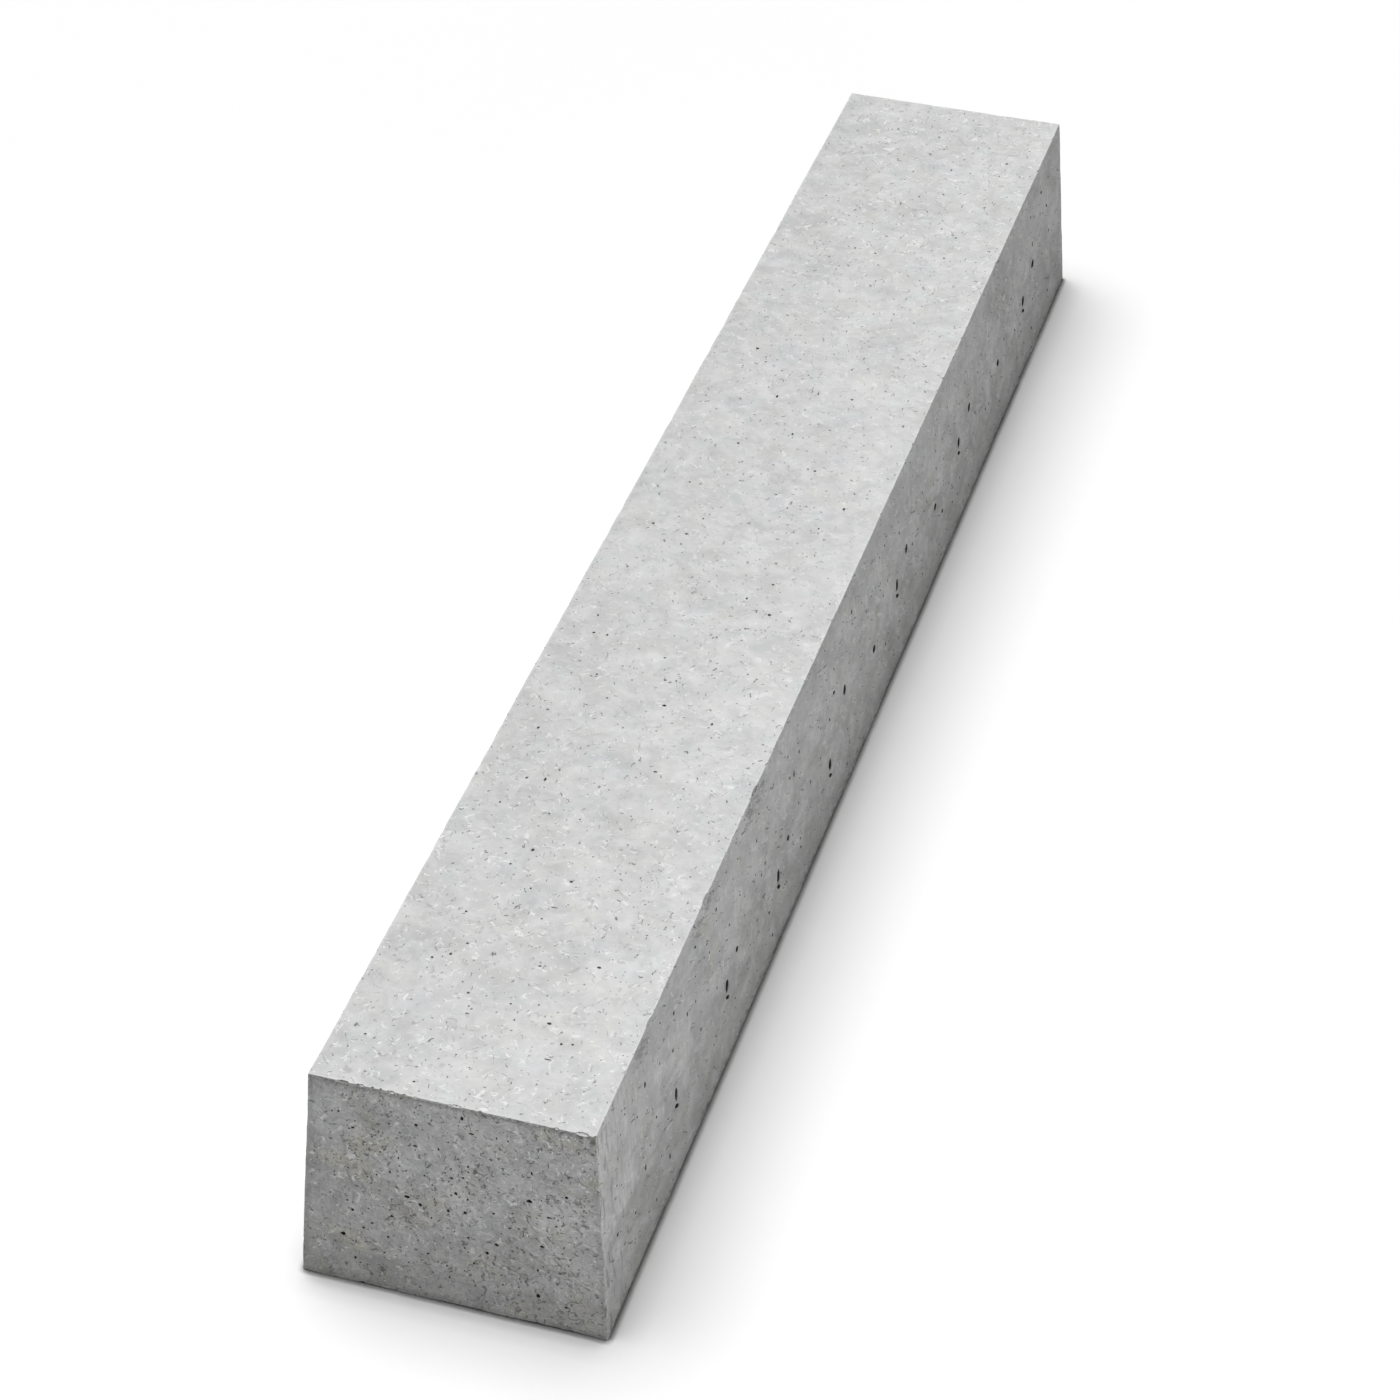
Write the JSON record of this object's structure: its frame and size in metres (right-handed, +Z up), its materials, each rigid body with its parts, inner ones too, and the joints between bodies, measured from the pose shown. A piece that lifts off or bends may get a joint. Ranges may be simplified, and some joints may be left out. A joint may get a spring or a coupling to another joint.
{
  "type": "precast concrete channel block",
  "caption": "Solid flat-topped precast concrete bar with tapered sides and ends, laid end to end as the drainage channel along a road edge.",
  "frame": {"origin": "middle of the bed, the flat underside that the block rests on", "axes": "+Z up from the bed to the top face, +Y along the block, +X across it"},
  "size_m": [0.1578, 0.9998, 0.125],
  "materials": {
    "concrete": "as-cast grey concrete, matt, with small air holes"
  },
  "bodies": {
    "root": {"channel_block": "concrete"}
  },
  "joints": []
}
